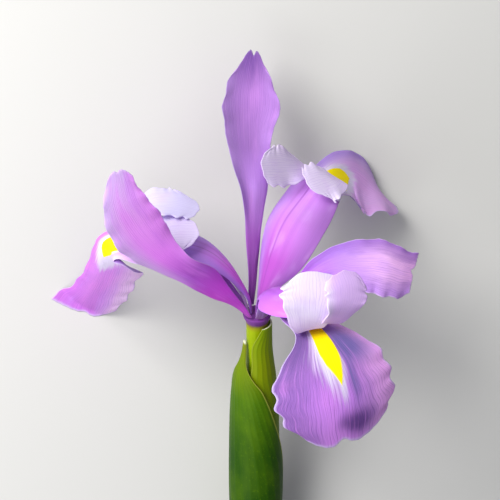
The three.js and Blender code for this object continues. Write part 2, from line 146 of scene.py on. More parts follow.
class Wire:  # an output socket that Python's operators work on
    def __init__(self, finish, socket):
        self.finish, self.socket = finish, socket

    def math(self, operation, first, second=None):
        return self.finish.node("ShaderNodeMath", {"operation": operation}, {0: first, 1: second})

    def __add__(self, other):
        return self.math("ADD", self, other)

    def __sub__(self, other):
        return self.math("SUBTRACT", self, other)

    def __rsub__(self, other):
        return self.math("SUBTRACT", other, self)

    def __mul__(self, other):
        return self.math("MULTIPLY", self, other)

    def __truediv__(self, other):
        return self.math("DIVIDE", self, other)

    def __pow__(self, other):
        return self.math("POWER", self, other)

    def __abs__(self):
        return self.math("ABSOLUTE", self)

    def __neg__(self):
        return self.math("MULTIPLY", self, -1)

    __radd__, __rmul__ = __add__, __mul__

    def sine(self):
        return self.math("SINE", self)

    def most(self, other):
        return self.math("MAXIMUM", self, other)

    def rises(self, low, high):  # 0 below low, 1 above high
        return self.finish.node("ShaderNodeMapRange", {"interpolation_type": "SMOOTHSTEP"},
                                {0: self, 1: low, 2: high, 3: 0.0, 4: 1.0})


class Finish:  # one material and the nodes that paint it; its colours are given as web colours
    def __init__(self, name):
        self.material = bpy.data.materials.new(name)
        self.material.use_nodes = True
        self.tree = self.material.node_tree
        self.tree.nodes.clear()

    def node(self, kind, settings, inputs, output=0):
        made = self.tree.nodes.new(kind)
        stops = settings.pop("stops", None)
        for key, value in settings.items():
            setattr(made, key, value)
        if stops:
            ramp = made.color_ramp
            while len(ramp.elements) < len(stops):
                ramp.elements.new(0.5)
            for element, (place, text) in zip(ramp.elements, stops):
                element.position, element.color = place, (*colour(text), 1)
        for key, value in inputs.items():
            if isinstance(value, Wire):
                self.tree.links.new(value.socket, made.inputs[key])
            elif value is not None:
                made.inputs[key].default_value = value
        return Wire(self, made.outputs[output])

    def sheetCoordinates(self):  # across from -1 to 1, along from 0 to 1, and both as a vector
        uv = self.node("ShaderNodeUVMap", {"uv_map": "sheet"}, {})
        split = self.node("ShaderNodeSeparateXYZ", {}, {0: uv})
        along = Wire(self, split.socket.node.outputs[1])
        return split * 2 - 1, along, uv

    def noise(self, uv, across, along, scale, detail=2.0):  # stretched by its two directions
        stretched = self.node("ShaderNodeVectorMath", {"operation": "MULTIPLY"},
                              {0: uv, 1: (across, along, 1)})
        return self.node("ShaderNodeTexNoise", {}, {"Vector": stretched, "Scale": scale, "Detail": detail})

    def ramp(self, value, stops):
        return self.node("ShaderNodeValToRGB", {"stops": stops}, {0: value})

    def mix(self, share, first, second):
        first, second = [c if isinstance(c, Wire) else (*colour(c), 1) for c in (first, second)]
        return self.node("ShaderNodeMix", {"data_type": "RGBA"}, {0: share, 6: first, 7: second}, 2)

    def bump(self, height, strength, distance):
        return self.node("ShaderNodeBump", {}, {"Height": height, "Strength": strength,
                                                "Distance": distance})

    def close(self, body, roughness, normal, thin=0.0, glow="#ffffff", sheen=0.0):
        surface = self.node("ShaderNodeBsdfPrincipled", {}, {
            "Base Color": body, "Roughness": roughness, "Normal": normal,
            "Specular IOR Level": 0.12, "Sheen Weight": sheen, "Sheen Roughness": 0.4,
        })
        if thin:  # light through the petal
            through = self.node("ShaderNodeBsdfTranslucent", {}, {"Color": (*colour(glow), 1)})
            surface = self.node("ShaderNodeMixShader", {}, {0: thin, 1: surface, 2: through})
        out = self.tree.nodes.new("ShaderNodeOutputMaterial")
        self.tree.links.new(surface.socket, out.inputs[0])
        return self.material


veins = {
    "wander": 1.8,  # how far a vein strays, in spaces between veins
    "finer": 2.17,  # fine veins to each coarse one
    "spread": 1.3,  # how much closer they run at the foot
}
petalLook = {  # what the petals' finishes start from
    "veins": 15,  # coarse veins on each half
    "fan": 0.6,  # how far they fan out towards the margins
    "roughness": 0.52,
    "veinRoughness": 0.06,  # added on a vein
    "bump": 0.35,
    "depth": 0.0002,  # of the bump, in metres
    "through": 0.2,  # share of the light that passes
    "glow": "#cf9af0",  # its colour
    "sheen": 0.05,
}


def petalVeins(finish, across, along, uv, look):
    # dark lines that fan out towards the margins, finer ones further out, and soft fibres
    count = look["veins"]
    wobble = finish.noise(uv, 6, 4, 1.5) - 0.5
    lane = across * (veins["spread"] - along.rises(0.35, 1.1) * look["fan"])
    lane = lane + wobble * (veins["wander"] / count)
    breaks = finish.noise(uv, 36, 4, 1.0)
    coarse = (lane * (count * math.tau)).sine().rises(0.45, 1) * breaks.rises(0.34, 0.6)
    fine = (lane * (veins["finer"] * count * math.tau) + 1.1).sine().rises(0.2, 1)
    fine = fine * along.rises(0.4, 0.65) * (1 - breaks).rises(0.3, 0.7)
    fibres = finish.noise(uv, 80, 3.5, 1.0)
    return coarse, fine, fibres


def petalBody(finish, across, along, uv, paint):
    # colour along the petal, then towards its two margins, then soft patches and painted shade
    body = finish.ramp(along, paint["stops"])
    blade = along.rises(0.25, 0.55)
    for side, text in zip((-across, across), paint["sides"]):
        body = finish.mix(side.rises(0.15, 0.95) * blade * 0.8, body, text)
    patches = finish.noise(uv, 2.6, 3, 1.3, 3.0)
    body = finish.mix(patches.rises(0.5, 0.72) * 0.4, body, paint["warm"])
    body = finish.mix((1 - patches).rises(0.52, 0.7) * 0.35, body, paint["cool"])
    # soft patches of painted shade and painted shadow, darker than the petal
    for x, y, wide, long, text in paint.get("paintedShade", ()):  # middle, half sizes and colour
        distance = (((across - x) / wide) ** 2 + ((along - y) / long) ** 2) ** 0.5
        body = finish.mix((1 - (distance + patches * 0.5).rises(0.4, 1.5)) * 0.9, body, text)
    return body


def closePetal(finish, body, coarse, relief, look, clear=1):
    # satin, rougher on the veins, with light through it where it is clear
    return finish.close(body, coarse * look["veinRoughness"] + look["roughness"],
                        finish.bump(relief, look["bump"], look["depth"]),
                        clear * look["through"], look["glow"], look["sheen"])


fallLook = {
    **petalLook,
    "veins": 19,
    "margin": "#dccbf6",
    "halo": "#eee6fd",
    "signal": ("#f0a800", "#ffe800"),  # from its foot to its tip
    "sheen": 0.03,
}
standardLook = {**petalLook, "fan": 0.4}


def fallFinish(name, paint):
    finish = Finish(name)
    across, along, uv = finish.sheetCoordinates()
    coarse, fine, fibres = petalVeins(finish, across, along, uv, fallLook)
    body = petalBody(finish, across, along, uv, paint)
    body = finish.mix(fibres.rises(0.5, 0.75) * 0.35, body, paint["warm"])
    body = finish.mix(coarse * along.rises(0.1, 0.5) * 0.26, body, paint["vein"])
    body = finish.mix(fine * 0.2 + (1 - fibres).rises(0.55, 0.75) * 0.2, body, paint["vein"])
    margin = (abs(across) + fine * 0.02).rises(0.95, 1).most((along + fine * 0.006).rises(0.982, 1))
    body = finish.mix(margin * 0.75, body, fallLook["margin"])
    # the white halo round the yellow signal, with a pale rib that runs on from its tip
    start, end, shift, width, haloSide = paint["signal"]
    streaks = finish.noise(uv, 34, 5, 1.0) - 0.5
    aside = across - shift - (along - start) * paint.get("lean", 0)
    offset = abs(aside)
    beyond = (along - start).most(0)
    fading = 1 - (beyond / (end + paint["halo"] - start)) ** 2
    reach = fading * width + 0.27 + streaks * 0.5 - offset - (aside * haloSide).most(0) * 1.2
    halo = reach.rises(0, 0.3) * along.rises(start - 0.1, start)
    rib = (1 - (offset + streaks * 0.03).rises(0.012, 0.06)) * along.rises(end - 0.04, end)
    rib = rib * (1 - along.rises(end + 0.02, end + 0.08))
    body = finish.mix((halo * 0.95).most(rib * 0.75), body, fallLook["halo"])
    # the signal itself, narrowing to its tip
    taper = 1 - (beyond / (end - start)) ** 1.7
    signal = (taper * width + streaks * 0.05 - offset).rises(0, 0.03)
    signal = signal * along.rises(start - 0.14, start - 0.1)
    yellow = finish.mix(along.rises(start - 0.06, start + 0.05), *fallLook["signal"])
    body = finish.mix(signal, body, yellow)
    relief = coarse * -0.5 + fine * -0.3 + signal * 0.8 - fibres * 0.4
    return closePetal(finish, body, coarse, relief, fallLook, 1 - signal)


def standardFinish(name, paint):
    finish = Finish(name)
    across, along, uv = finish.sheetCoordinates()
    coarse, fine, fibres = petalVeins(finish, across, along, uv, standardLook)
    body = petalBody(finish, across, along, uv, paint)
    body = finish.mix(fibres.rises(0.5, 0.75) * 0.3, body, paint["warm"])
    body = finish.mix(coarse * along.rises(0.05, 0.4) * 0.3, body, paint["vein"])
    body = finish.mix(fine * 0.22 + (1 - fibres).rises(0.5, 0.75) * 0.26, body, paint["vein"])
    margin = abs(across).rises(0.94, 1).most(along.rises(0.985, 1))
    body = finish.mix(margin * 0.5, body, paint["margin"])
    relief = coarse * -0.5 + fine * -0.3 - fibres * 0.4
    return closePetal(finish, body, coarse, relief, standardLook)


outerLook = {  # the outer faces of the petals
    **petalLook,
    "foot": "#8a5488",
    "patches": "#c99ae6",
    "rib": "#8d78b8",
    "margin": "#e0cdf8",
    "veins": 9,
    "roughness": 0.55,
    "veinRoughness": 0.05,
    "bump": 0.3,
    "depth": 0.0003,
    "through": 0.26,
    "sheen": 0.25,
}


def outerFinish(name, inner, outer, vein):
    finish = Finish(name)
    across, along, uv = finish.sheetCoordinates()
    coarse, fine = petalVeins(finish, across, along, uv, outerLook)[:2]
    patches = finish.noise(uv, 3, 3, 1.2, 3.0)
    body = finish.ramp(along, [(0.0, outerLook["foot"]), (0.06, inner), (0.5, inner), (1.0, outer)])
    body = finish.mix(patches.rises(0.4, 0.7) * 0.4, body, outerLook["patches"])
    rib = 1 - abs(across).rises(0.03, 0.12)
    body = finish.mix(rib * 0.35, body, outerLook["rib"])
    body = finish.mix(coarse * 0.3 + fine * 0.15, body, vein)
    margin = abs(across).rises(0.88, 1).most(along.rises(0.965, 1))
    body = finish.mix(margin * 0.5, body, outerLook["margin"])
    return closePetal(finish, body, coarse, coarse * -0.5 + rib * 0.8, outerLook)


styleLook = {
    **petalLook,
    "fan": 0.1,
    "foot": "#a07848",
    "blush": "#e3b8f6",
    "keel": "#9a44ae",  # the line down the middle of an arm, with a groove at each side
    "veinColour": "#a884d8",
    "fibres": "#b79be6",
    "veinRoughness": 0.05,
    "bump": 0.25,
    "through": 0.22,
    "glow": "#e6ccf8",
}


def styleFinish(name, paint):
    finish = Finish(name)
    across, along, uv = finish.sheetCoordinates()
    coarse, fine, fibres = petalVeins(finish, across, along, uv, styleLook)
    patches = finish.noise(uv, 3, 5, 1.4, 3.0)
    body = finish.ramp(along, [(0.0, styleLook["foot"]), (0.03, paint["foot"]), (0.16, paint["foot"]),
                               (0.34, paint["arm"]), (0.46, paint["arm"]), (0.54, paint["low"]),
                               (0.72, paint["crest"]), (0.95, paint["crest"])])
    onCrest = along.rises(0.46, 0.54)
    onArm = 1 - onCrest
    for side, text in zip((-across, across), paint["sides"]):
        body = finish.mix(side.rises(0.2, 0.9) * onArm * 0.85, body, text)
    body = finish.mix(across.rises(-0.04, 0.3) * onCrest * 0.8, body, paint["fold"])
    keel = (1 - abs(across).rises(0.01, 0.05)) * onArm
    groove = (1 - abs(abs(across) - 0.3).rises(0.02, 0.1)) * onArm
    body = finish.mix(patches.rises(0.5, 0.7) * 0.3 * (1 - onCrest * 0.5), body, styleLook["blush"])
    body = finish.mix(keel * 0.5 + groove * 0.2, body, styleLook["keel"])
    body = finish.mix(coarse * (onCrest * 0.06 + 0.16), body, styleLook["veinColour"])
    threads = fine * onCrest * 0.24 + (1 - fibres).rises(0.55, 0.75) * 0.24
    body = finish.mix(threads, body, styleLook["fibres"])
    relief = coarse * -0.4 + fine * -0.3 - keel - fibres * 0.3
    return closePetal(finish, body, coarse, relief, styleLook)


stamenLook = {
    "stops": [(0.0, "#cdb8d8"), (0.38, "#d8c7e4"), (0.48, "#e8dcae"), (1.0, "#e2cf86")],
    "grains": "#b59ac0",  # gaps between the grains of pollen
}


def stamenFinish():
    finish = Finish("stamen")
    _, along, uv = finish.sheetCoordinates()
    grains = finish.noise(uv, 40, 60, 1.0)
    body = finish.ramp(along, stamenLook["stops"])
    body = finish.mix(grains.rises(0.45, 0.65) * 0.5 * along.rises(0.4, 0.5), body, stamenLook["grains"])
    return finish.close(body, grains * 0.2 + 0.6, finish.bump(grains, 0.4, 0.0002), sheen=0.1)


def greenSkin(name, look):  # the smooth, faintly ribbed green of the ovary, stem and valves
    finish = Finish(name)
    across, along, uv = finish.sheetCoordinates()
    wobble = finish.noise(uv, 6, 4, 1.0) - 0.5
    lines = ((across + wobble * 0.04) * (look["ribs"] * math.pi)).sine().rises(0.1, 1)
    patches = finish.noise(uv, 3, 5, 1.3, 3.0)
    specks = finish.noise(uv, 60, 90, 1.0, 1.0)
    body = finish.ramp(along, look["stops"])
    body = finish.mix(patches.rises(0.35, 0.75) * 0.24, body, look["pale"])
    body = finish.mix(lines * 0.16, body, look["rib"])
    body = finish.mix(specks.rises(0.62, 0.72) * 0.2, body, look["pale"])
    normal = finish.bump(lines * 0.25 + specks * 0.2, 0.35, 0.0003)
    return finish, across, along, body, patches * 0.14 + 0.42, normal


ovaryLook = {
    "stops": [(0.0, "#6e4084"), (0.05, "#54286a"), (0.085, "#6e5040"), (0.12, "#8f8a1a"),
              (0.16, "#8fa201"), (0.5, "#7d9901"), (1.0, "#678a00")],
    "ribs": 9,
    "rib": "#6d8600",
    "pale": "#a9bb0e",
    "lip": "#74398c",  # the purple ring that the petals stand on
}
stemLook = {
    "stops": [(0.0, "#7c9612"), (0.6, "#4f7c04"), (1.0, "#467204")],
    "ribs": 12,
    "rib": "#3c6600",
    "pale": "#6f9626",
    "cut": ("#c9d49a", "#9fb26c"),  # the fibres of the cut end and what is between them
}
spatheLook = {
    "ribs": 13,
    "rib": "#355c00",
    "pale": "#6c9000",
    "dryMargin": "#a9ac48",
    "dryTip": "#dfe2c4",
    "through": 0.06,
    "glow": "#80b800",
}


def ovaryFinish():
    finish, _, along, body, gloss, normal = greenSkin("ovary", ovaryLook)
    lip = 1 - along.rises(0.06, 0.1)
    return finish.close(finish.mix(lip * 0.92, body, ovaryLook["lip"]), gloss, normal)


def stemFinish():
    finish, _, _, body, gloss, normal = greenSkin("stem", stemLook)
    return finish.close(body, gloss, normal)


def cutFinish():  # the cut end of the stem
    finish = Finish("cutEnd")
    objectSpace = finish.node("ShaderNodeTexCoord", {}, {}, 3)
    fibres = finish.node("ShaderNodeTexVoronoi", {}, {"Vector": objectSpace, "Scale": 1600.0})
    body = finish.mix(fibres.rises(0.1, 0.7), *stemLook["cut"])
    return finish.close(body, fibres * 0.2 + 0.5, finish.bump(fibres, 0.5, 0.0003))


def spatheFinish(name, paint):
    finish, across, along, body, gloss, normal = greenSkin(name, {**spatheLook, **paint})
    margin = abs(across).rises(0.94, 0.985)
    body = finish.mix(margin * paint["marginShare"], body, spatheLook["dryMargin"])
    tip = 1 - along.rises(paint["tipLength"] * 0.4, paint["tipLength"])
    body = finish.mix(tip * 0.9, body, spatheLook["dryTip"])
    return finish.close(body, gloss, normal, spatheLook["through"], spatheLook["glow"])


petal = {
    "thickness": 0.42,  # in the middle of a petal
    "margin": 0.45,  # share of it left at the margin
    "rows": 64,  # faces along a petal
    "columns": 32,  # faces across it
    "teeth": 0.35,  # depth of the teeth at the margin
    "tipTeeth": 11,
    "sideTeeth": 3.3,  # teeth to each scallop
    "frill": 0.25,  # height of the fine ripples at the margin
    "ripples": 3.7,  # fine ripples to each large one
    "notchWidth": 0.16,  # of the notch at the tip, as a share of the blade's
}


def addGrid(mesh, rows, columns, at, uvBox=(0, 0, 1, 1)):
    # a grid whose x becomes across and y becomes along; uvBox is its share of the sheet's map
    sheet = mesh.loops.layers.uv.get("sheet") or mesh.loops.layers.uv.new("sheet")
    made = bmesh.ops.create_grid(mesh, x_segments=columns, y_segments=rows, size=1)["verts"]
    faces = {face for vertex in made for face in vertex.link_faces}
    left, low, right, high = uvBox
    for face in faces:
        for corner in face.loops:
            x, y = (corner.vert.co.x + 1) / 2, (corner.vert.co.y + 1) / 2
            corner[sheet].uv = (left + (right - left) * x, low + (high - low) * y)
    for vertex in made:
        vertex.co = at((vertex.co.y + 1) / 2, vertex.co.x)
    bmesh.ops.reverse_faces(mesh, faces=list(faces))


def finishPiece(name, mesh, materials):
    data = bpy.data.meshes.new(name)
    mesh.to_mesh(data)
    mesh.free()
    piece = bpy.data.objects.new(name, data)
    bpy.context.scene.collection.objects.link(piece)
    for material in materials:
        data.materials.append(material)
    for face in data.polygons:
        face.use_smooth = True
    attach(piece, "root")
    return piece


def roundOff(piece):
    rounding = piece.modifiers.new("rounding", "SUBSURF")
    rounding.levels = rounding.render_levels = roundingLevels


def thicken(piece, thickness, marginShare):
    # two faces and a rim, thinner towards the free margins, then rounded
    thinned, tipSteepness = 0.25, 3
    group = piece.vertex_groups.new(name="body")
    sheet = piece.data.uv_layers["sheet"].data
    share = {}
    for loop in piece.data.loops:
        x, y = sheet[loop.index].uv
        inside = min(1 - abs(2 * x - 1), (1 - y) * tipSteepness)
        share[loop.vertex_index] = smoothStep(0, thinned, inside)
    for vertex, value in share.items():
        group.add([vertex], value, "REPLACE")
    solid = piece.modifiers.new("thickness", "SOLIDIFY")
    solid.thickness, solid.offset = thickness * mm, 0
    solid.vertex_group, solid.thickness_vertex_group = group.name, marginShare
    solid.use_quality_normals = True
    solid.material_offset = len(piece.data.materials) - 1  # the second material is for the outer face
    roundOff(piece)


def petalSurface(form, frill=0.0, teeth=0.0):
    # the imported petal's own surface, with a fine frill and teeth at its margin
    at, length = spineCurve(form["spine"])
    widths = [track(stations) for stations in form["width"]]
    curls = [track(stations) for stations in form["curl"]]
    roll = track(form["roll"])
    bows = [track([(0, 0), (0.6, 0), (1, drop)]) for drop in form["bow"]]
    wave = form["wave"]

    def surface(along, across):
        half, reach = int(across >= 0), abs(across)
        free = half != form.get("bare")
        # the place on the midrib, drawn back where the tip is rounded, notched or toothed
        notch = form["notch"] * math.exp(-(across / petal["notchWidth"]) ** 2) * along ** 6
        bow = bows[half](along) * reach ** 2.2
        bite = abs(math.sin(petal["tipTeeth"] * math.pi * across + 2 * half))
        ragged = teeth * bite * smoothStep(0.9, 1, along)
        point, tangent = at(clamp(along - (bow + notch + ragged) / length))
        side = Vector((0, 1, 0))
        level = (side - tangent * side.dot(tangent)).normalized()
        raised = tangent.cross(level)
        turn = math.radians(roll(along))
        acrossAxis = level * math.cos(turn) + raised * math.sin(turn)
        faceAxis = tangent.cross(acrossAxis)
        # half the width here, scalloped and toothed
        scallop = wave["scallop"] * math.sin(math.tau * wave["lobes"] * along + 1.3 * across)
        width = widths[half](along) * (1 + scallop * reach * along)
        bites = wave["lobes"] * petal["sideTeeth"]
        bite = abs(math.sin(math.pi * bites * along + 1.7 * half + wave["phase"]))
        width -= teeth * bite * reach ** 8 * smoothStep(0.45, 0.7, along) * free
        # large waves over the blade and fine ones at the margin
        swell = math.sin(math.pi * min(1, along * 1.15)) ** 2
        phase = wave["phase"] + (0 if half else 2.1)
        ripple = wave["height"] * reach ** 2.5 * swell * math.sin(math.tau * wave["count"] * along + phase)
        fine = math.sin(math.tau * wave["count"] * petal["ripples"] * along + 2.3 * phase)
        ripple += frill * reach ** 4 * smoothStep(0.4, 0.7, along) * fine * free
        # the arc that the blade makes across its midrib
        curl = math.radians(curls[half](along)) or 1e-6
        sideways = math.copysign(1, across) * width * math.sin(curl * reach) / curl
        upward = width * (1 - math.cos(curl * reach)) / curl + ripple
        return point + acrossAxis * sideways + faceAxis * upward

    return surface


def metres(surface, place, lowest=0.0):  # from the flower's own millimetres to its place over the floor
    def at(along, across):
        point = place @ surface(along, across)
        point.z = max(point.z, lowest)
        return point * mm

    return at


def petalPiece(name, node, form, materials):
    mesh = bmesh.new()
    surface = petalSurface(form, petal["frill"], petal["teeth"])
    at = metres(surface, petalPlace(form["azimuth"]), petal["thickness"] / 2)
    addGrid(mesh, petal["rows"], petal["columns"], at)
    piece = finishPiece(name, mesh, materials)
    thicken(piece, petal["thickness"], petal["margin"])
    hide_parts(node)


# falls: the midrib's points are outwards, aside and up from the petals' foot; widths and curls
# are (share of the length, value) pairs for each side of the midrib, and roll turns the blade
fallClaw = [(3.4, 0, 0.45), (5.2, 0, 4.8), (8.2, 0, 9.4), (12.5, 0, 13.4), (18, 0, 16.2)]
fallFoot = [(0, 1.95), (0.1, 2.5)]
frontWidth = fallFoot + [(0.25, 4.2), (0.4, 4.8), (0.5, 4.9), (0.58, 7.6), (0.65, 13.6), (0.72, 16.4),
                         (0.82, 17.2), (0.92, 15.8), (1, 12.6)]
wideWidth = fallFoot + [(0.25, 4.2), (0.4, 5), (0.5, 7.4), (0.58, 11), (0.65, 14.6), (0.72, 16.4),
                        (0.82, 17.2), (0.92, 17), (1, 14.4)]
foldedWidth = fallFoot + [(0.25, 4.4), (0.4, 5.2), (0.5, 4.8), (0.6, 4.8), (0.7, 5.1), (0.8, 5.6),
                          (0.9, 7), (1, 12)]
broadWidth = fallFoot + [(0.25, 4.4), (0.4, 5), (0.5, 4.6), (0.54, 7.2), (0.58, 10.4), (0.62, 11.4),
                         (0.68, 10.8), (0.75, 10), (0.85, 9.8), (0.93, 9.3), (1, 8)]
nearWidth = fallFoot + [(0.25, 4.4), (0.4, 5.6), (0.5, 6.2), (0.58, 8.5), (0.68, 13), (0.78, 15.2),
                        (0.88, 13.6), (0.95, 8.8), (1, 4)]
farWidth = fallFoot + [(0.25, 4.4), (0.4, 5.4), (0.5, 5), (0.6, 4.8), (0.7, 5.8), (0.78, 7.6),
                       (0.84, 7.8), (0.89, 4.6), (0.94, 1.8), (1, 1.2)]
clawCurl = [(0, 35), (0.15, 12)]
fallWave = {"height": 1.3, "count": 3.2, "phase": 0.4, "scallop": 0.05, "lobes": 9}

falls = {
    "fall_front": {
        "azimuth": -65,
        "spine": fallClaw + [(25, 0, 17.4), (32, 0, 17.9), (37.3, 0, 17.2), (42, 0, 15.2), (46, 0, 12.4),
                             (49.5, 0, 8), (51.8, 0, 2.5), (52.9, 0, -3.2), (53.4, 0, -7)],
        "width": [frontWidth, wideWidth],
        "curl": [clawCurl + [(0.5, 4), (0.62, -12), (0.8, -18), (1, -22)]] * 2,
        "roll": [(0, 0), (1, 0)],
        "bow": (6, 6),
        "notch": 2.2,
        "wave": fallWave,
        "paint": {
            # the dim blue-violet at half length is painted shade under the style arm
            "stops": [(0.0, "#8f5494"), (0.05, "#b26fc4"), (0.3, "#a86ac8"), (0.5, "#72649e"),
                      (0.65, "#9c6ebd"), (0.82, "#d58ff8"), (1.0, "#d590eb")],
            # the pale pink right side is painted light, and the dark violet left side is painted shade
            "sides": ("#7d5fa1", "#ffbeff"), "warm": "#ef9bff", "cool": "#705fa0", "vein": "#5c3f89",
            "signal": (0.54, 0.775, 0.03, 0.26, 1),  # start, end, shift aside, half width, halo to one side
            "lean": 0.25,  # how far the signal's tip goes aside
            "halo": 0,  # how far the halo runs on past the tip
            # painted shadows: the crest's cast shadow beside the signal, and two patches of painted shade
            # lower on the blade
            "paintedShade": [(0.52, 0.62, 0.5, 0.1, "#6865a2"), (0.22, 0.92, 0.36, 0.06, "#563a7b"),
                       (0.3, 0.74, 0.1, 0.1, "#756aab")],
        },
    },
    "fall_left": {
        "azimuth": 180,
        "spine": fallClaw + [(25, 0, 18.6), (32, 0, 20.8), (37, 0, 22.4), (39.5, -0.1, 22.2),
                             (40.1, -0.7, 19.5), (40.9, -2.4, 15), (42, -5.2, 9.6), (43.3, -8.7, 3.6),
                             (45, -12.3, -2.5), (48, -17.5, -13.4)],
        "width": [foldedWidth, broadWidth],
        "curl": [clawCurl + [(0.5, -10), (0.62, -50), (0.78, -45), (0.9, -30), (1, -10)],
                 clawCurl + [(0.5, 4), (0.62, -8), (0.8, -12), (1, -15)]],
        "roll": [(0, 0), (0.46, 0), (0.54, -52), (0.61, -82), (0.75, -84), (1, -80)],
        "bow": (0, 6),
        "notch": 1.2,
        "wave": {**fallWave, "phase": 2.4},
        "paint": {
            "stops": [(0.0, "#8f5494"), (0.05, "#b26fc4"), (0.3, "#b06fd0"), (0.5, "#dd98f9"),
                      (0.7, "#ef9aff"), (1.0, "#c575d9")],
            "sides": ("#cc75dc", "#ffe4ff"), "warm": "#ff9aff", "cool": "#d098f9", "vein": "#a05ecf",
            "signal": (0.5, 0.585, -0.1, 0.5, 0), "halo": 0.07,
        },
    },
    "fall_back": {
        "azimuth": 60,
        "spine": fallClaw + [(25, 0, 18.6), (33, 0, 20.8), (40, 0, 21.4), (44.8, -0.6, 20.6),
                             (49.4, -2, 18.4), (52, -3.8, 15.3), (53.8, -5.8, 12), (55.6, -9.6, 7.2),
                             (57.3, -12.9, 3.7)],
        "width": [nearWidth, farWidth],
        "curl": [clawCurl + [(0.5, 4), (0.62, 28), (0.76, 42), (0.84, 38), (0.94, -6), (1, -12)],
                 clawCurl + [(0.5, 4), (0.62, -25), (0.8, -40), (1, -30)]],
        "roll": [(0, 0), (0.5, 0), (0.62, 50), (0.74, 70), (0.84, 72), (0.92, 46), (1, 40)],
        "bow": (1, 0),
        "notch": 1.5,
        "wave": {**fallWave, "phase": 4.2},
        "paint": {
            "stops": [(0.0, "#8f5494"), (0.05, "#b26fc4"), (0.3, "#b883da"), (0.5, "#eed8ff"),
                      (0.75, "#eab8fa"), (1.0, "#f0c0fa")],
            # the dark blue-violet of the far side is painted shade
            "sides": ("#f2bcfc", "#9078d4"), "warm": "#f8b4fc", "cool": "#e0ccf8", "vein": "#b48cdc",
            "signal": (0.52, 0.71, -0.2, 0.64, 0), "halo": 0.02,
        },
    },
}

fallOuter = outerFinish("fallOuterFace", "#a178c6", "#a98fd6", "#7b55ac")
for node, form in falls.items():
    faces = [fallFinish(node + "Face", form["paint"]), fallOuter]
    petalPiece(node.replace("_", "") + "Petal", node, form, faces)
print("falls made")

# standards, with the same kinds of numbers, but narrower at the foot
standardWave = {"height": 0.8, "count": 2.6, "phase": 0.9, "scallop": 0.04, "lobes": 8}
standardFoot = [(0, 0.85), (0.12, 1.15)]
flatRoll = [(0, 0), (1, 0)]

